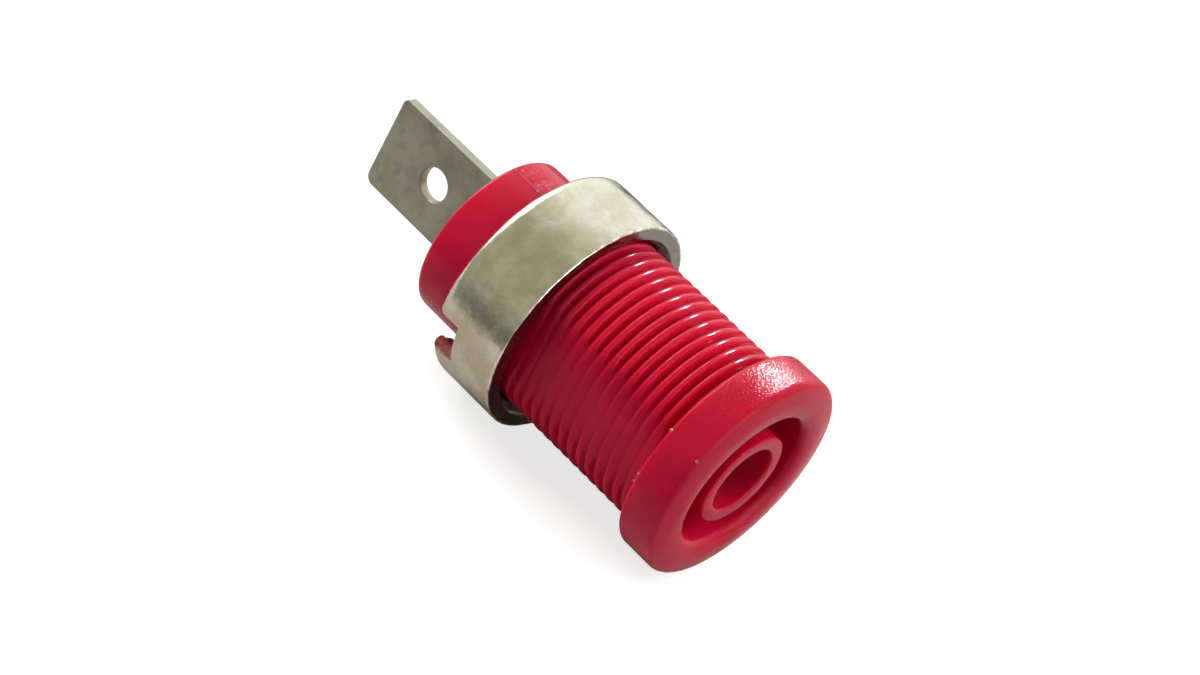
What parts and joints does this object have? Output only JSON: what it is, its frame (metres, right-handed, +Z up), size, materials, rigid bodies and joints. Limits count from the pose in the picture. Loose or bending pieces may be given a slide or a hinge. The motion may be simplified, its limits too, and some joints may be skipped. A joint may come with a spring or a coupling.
{
  "type": "banana socket",
  "caption": "Panel-mount safety socket for a 4 mm plug: flanged threaded barrel with flats, shroud groove, metal contact, flat blade terminal and a slotted ring nut on the thread.",
  "frame": {"origin": "on the socket's axis, in the plane of the flange's rear face, where it seats on the panel", "axes": "+Y along the axis from the flange to the blade, away from the plug, which enters from -Y; +Z up along the blade's width; +X across the flats"},
  "size_m": [0.0148, 0.0311, 0.0146],
  "materials": {
    "red_moulding": "glossy moulded red polyamide",
    "contact_plating": "turned brass, nickel plated",
    "blade_plating": "stamped brass, dull nickel plated",
    "nut_plating": "turned brass, satin nickel plated"
  },
  "bodies": {
    "socket": {"socket_body": "red_moulding", "contact_sleeve": "contact_plating", "blade_terminal": "blade_plating"},
    "nut": {"ring_nut": "nut_plating"}
  },
  "joints": [
    {"name": "nut_travel", "type": "slide", "parent": "socket", "child": "nut", "axis": [0, 1, 0], "range_m": [-0.0104, 0.0184]}
  ]
}
